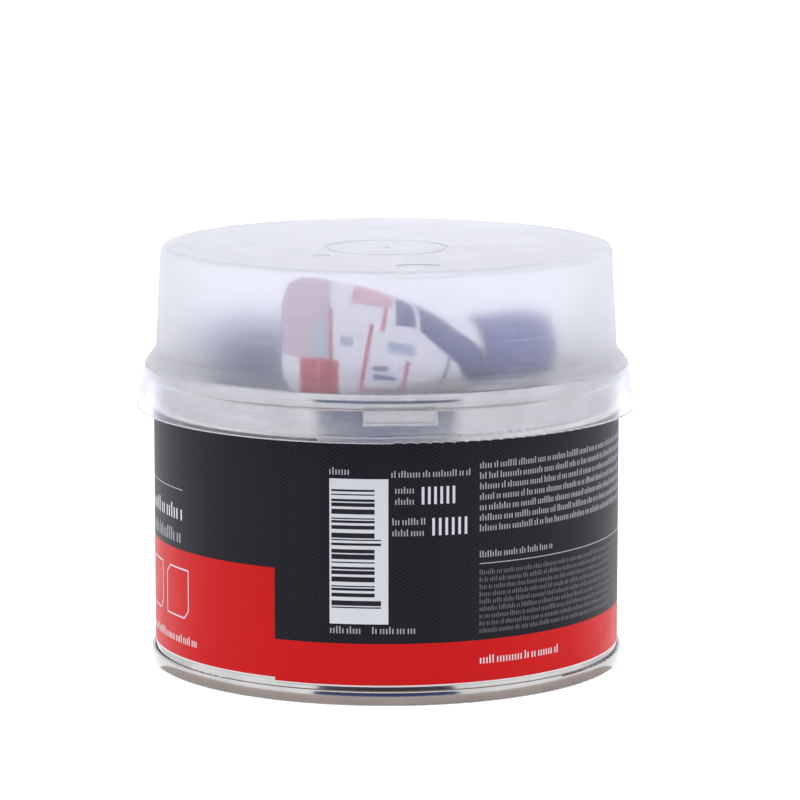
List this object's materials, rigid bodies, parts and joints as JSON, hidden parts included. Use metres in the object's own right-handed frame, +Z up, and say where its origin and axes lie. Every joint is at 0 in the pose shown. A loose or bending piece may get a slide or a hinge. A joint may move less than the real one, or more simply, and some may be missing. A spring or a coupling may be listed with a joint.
{
  "type": "polyester filler tin",
  "caption": "Round seamed tin of filler paste with a lever lid, a wrapped paper label and a frosted overcap that clips on and holds two tubes of hardener.",
  "frame": {"origin": "centre of the tin's foot, on the surface that it stands on", "axes": "+Z up along the tin's axis, -Y towards the front of the picture, +X to the right"},
  "size_m": [0.1068, 0.1068, 0.0893],
  "materials": {
    "tinplate": "bright rolled tinplate",
    "sealing_compound": "matt",
    "filler": "smooth wet paste",
    "label_print": "printed paper, semi-gloss",
    "frosted_plastic": "frosted translucent",
    "tube_lacquer": "white lacquer",
    "hardener": "soft paste",
    "tube_cap_plastic": "moulded, fluted"
  },
  "bodies": {
    "tin": {"can_body": "tinplate", "base_end": "tinplate", "top_ring": "tinplate", "base_seam_compound": "sealing_compound", "top_seam_compound": "sealing_compound", "filler_paste": "filler", "label": "label_print"},
    "lid": {"lever_lid": "tinplate"},
    "front_tube": {"front_tube": "tube_lacquer", "front_tube_paste": "hardener"},
    "front_cap": {"front_tube_cap": "tube_cap_plastic"},
    "rear_tube": {"rear_tube": "tube_lacquer", "rear_tube_paste": "hardener"},
    "rear_cap": {"rear_tube_cap": "tube_cap_plastic"},
    "overcap": {"overcap": "frosted_plastic"}
  },
  "joints": [
    {"name": "lid_lift", "type": "slide", "parent": "tin", "child": "lid", "axis": [0, 0, 1], "range_m": [0, 0.03]},
    {"name": "front_tube_lift", "type": "slide", "parent": "lid", "child": "front_tube", "axis": [0, 0, 1], "range_m": [0, 0.03]},
    {"name": "front_cap_turn", "type": "hinge", "parent": "front_tube", "child": "front_cap", "pos_m": [0.01497, -0.03341, 0.071], "axis": [0.8192, 0.5736, 0], "range_deg": [0, 720]},
    {"name": "rear_tube_lift", "type": "slide", "parent": "front_tube", "child": "rear_tube", "axis": [0, 0, 1], "range_m": [0, 0.03]},
    {"name": "rear_cap_turn", "type": "hinge", "parent": "rear_tube", "child": "rear_cap", "pos_m": [-0.0179, 0.002, 0.0661], "axis": [-1, 0, 0], "range_deg": [0, 720]},
    {"name": "overcap_lift", "type": "slide", "parent": "rear_tube", "child": "overcap", "axis": [0, 0, 1], "range_m": [0, 0.06]}
  ]
}
